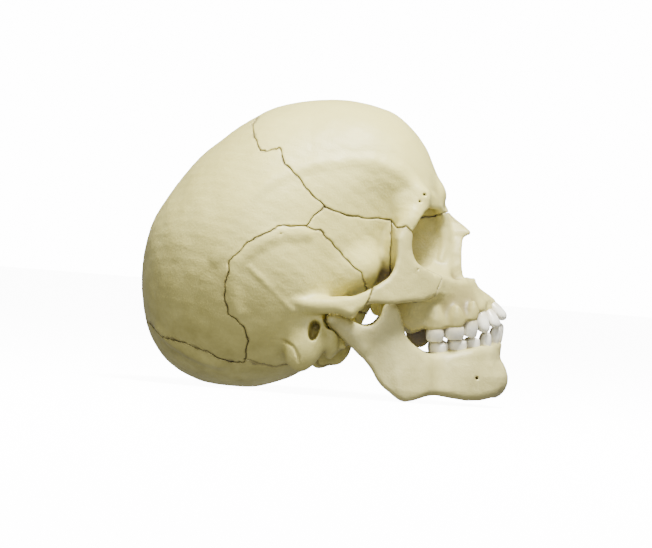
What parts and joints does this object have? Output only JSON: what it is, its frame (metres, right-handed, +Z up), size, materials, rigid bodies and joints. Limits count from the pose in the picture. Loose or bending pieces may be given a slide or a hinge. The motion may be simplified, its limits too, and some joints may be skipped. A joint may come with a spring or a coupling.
{
  "type": "human skull model",
  "caption": "Life-size human skull lying on its back and the corners of its jaw: braincase, face, cheek arches, lower jaw and teeth, as separate bones.",
  "frame": {"origin": "centre of the bounding box's base, on the surface the skull lies on", "axes": "+X towards the face, +Z up, -Y to the skull's right side, which faces the viewer"},
  "size_m": [0.2052, 0.1406, 0.1618],
  "materials": {
    "braincase_bone": "satin cream bone, olive in the shade",
    "face_bone": "satin cream bone",
    "jaw_bone": "matt greyish cream bone",
    "enamel": "ivory tooth enamel"
  },
  "bodies": {
    "root": {"frontal": "braincase_bone", "parietal_right": "braincase_bone", "parietal_left": "braincase_bone", "occipital": "braincase_bone", "temporal_right": "braincase_bone", "temporal_left": "braincase_bone", "sphenoid": "braincase_bone", "zygomatic_right": "face_bone", "zygomatic_left": "face_bone", "maxilla_right": "face_bone", "maxilla_left": "face_bone", "nasal_right": "face_bone", "nasal_left": "face_bone", "vomer": "face_bone", "mandible": "jaw_bone"}
  },
  "joints": []
}
